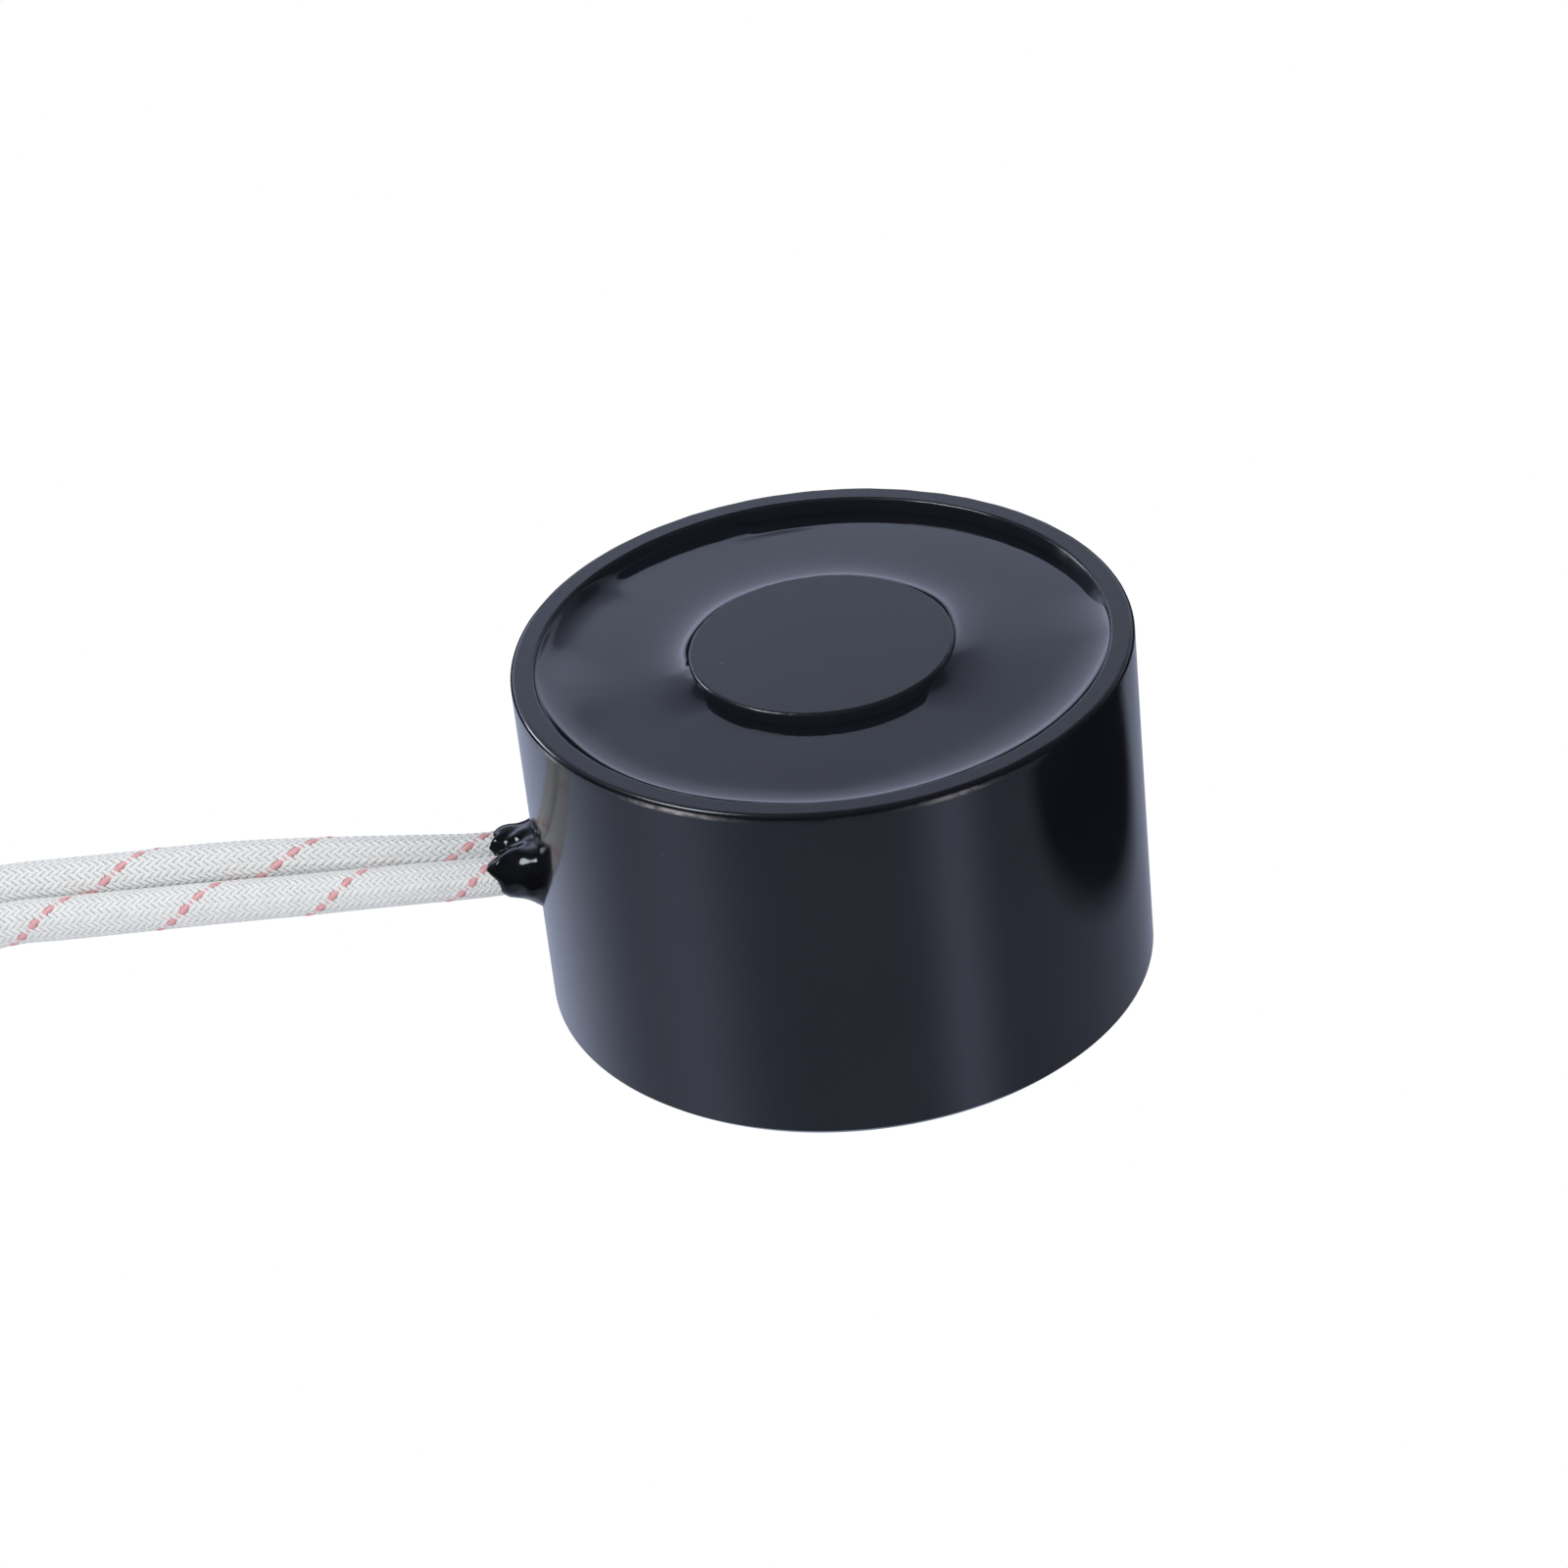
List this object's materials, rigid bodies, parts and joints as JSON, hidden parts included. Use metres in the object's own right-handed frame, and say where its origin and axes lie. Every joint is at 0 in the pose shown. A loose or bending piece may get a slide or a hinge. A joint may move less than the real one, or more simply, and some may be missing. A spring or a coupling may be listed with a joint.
{
  "type": "robot magnetic gripper",
  "caption": "Round potted holding electromagnet in a black steel pot with a centre pole, a threaded back and two leads in braided sleeves.",
  "frame": {"origin": "centre of the mounting face, where the thread opens", "axes": "+Z along the pot's axis from the mounting face to the working face; the leads leave the side towards -X"},
  "size_m": [0.188, 0.0781, 0.0365],
  "materials": {
    "black_steel": "gloss black lacquer over turned mild steel",
    "resin": "glossy black potting resin",
    "sealant": "glossy black sealant, set in lumps",
    "glass_braid": "varnished white glass-fibre braid with a red tracer yarn",
    "wire_insulation": "white silicone insulation",
    "tinned_copper": "tinned strands",
    "tie_plastic": "black plastic-covered wire tie",
    "shrink_sleeve": "black heat-shrink sleeve",
    "enamelled_copper": "enamelled copper wire",
    "bobbin_plastic": "natural nylon",
    "polyester_tape": "yellow polyester tape",
    "pressboard": "plain electrical pressboard"
  },
  "bodies": {
    "root": {"pot_body": "black_steel", "insulating_washer": "pressboard", "coil_bobbin": "bobbin_plastic", "coil_winding": "enamelled_copper", "winding_tape": "polyester_tape", "potting_resin": "resin", "exit_sealant": "sealant", "inner_wire_front": "wire_insulation", "inner_wire_rear": "wire_insulation", "splice_sleeve_front": "shrink_sleeve", "splice_sleeve_rear": "shrink_sleeve", "winding_start_tail": "enamelled_copper", "winding_finish_tail": "enamelled_copper", "lead_front": "glass_braid", "lead_rear": "glass_braid", "lead_coil_front": "glass_braid", "lead_coil_rear": "glass_braid", "wire_end_front": "wire_insulation", "wire_end_rear": "wire_insulation", "tinned_tip_front": "tinned_copper", "tinned_tip_rear": "tinned_copper", "lead_tie": "tie_plastic"}
  },
  "joints": []
}
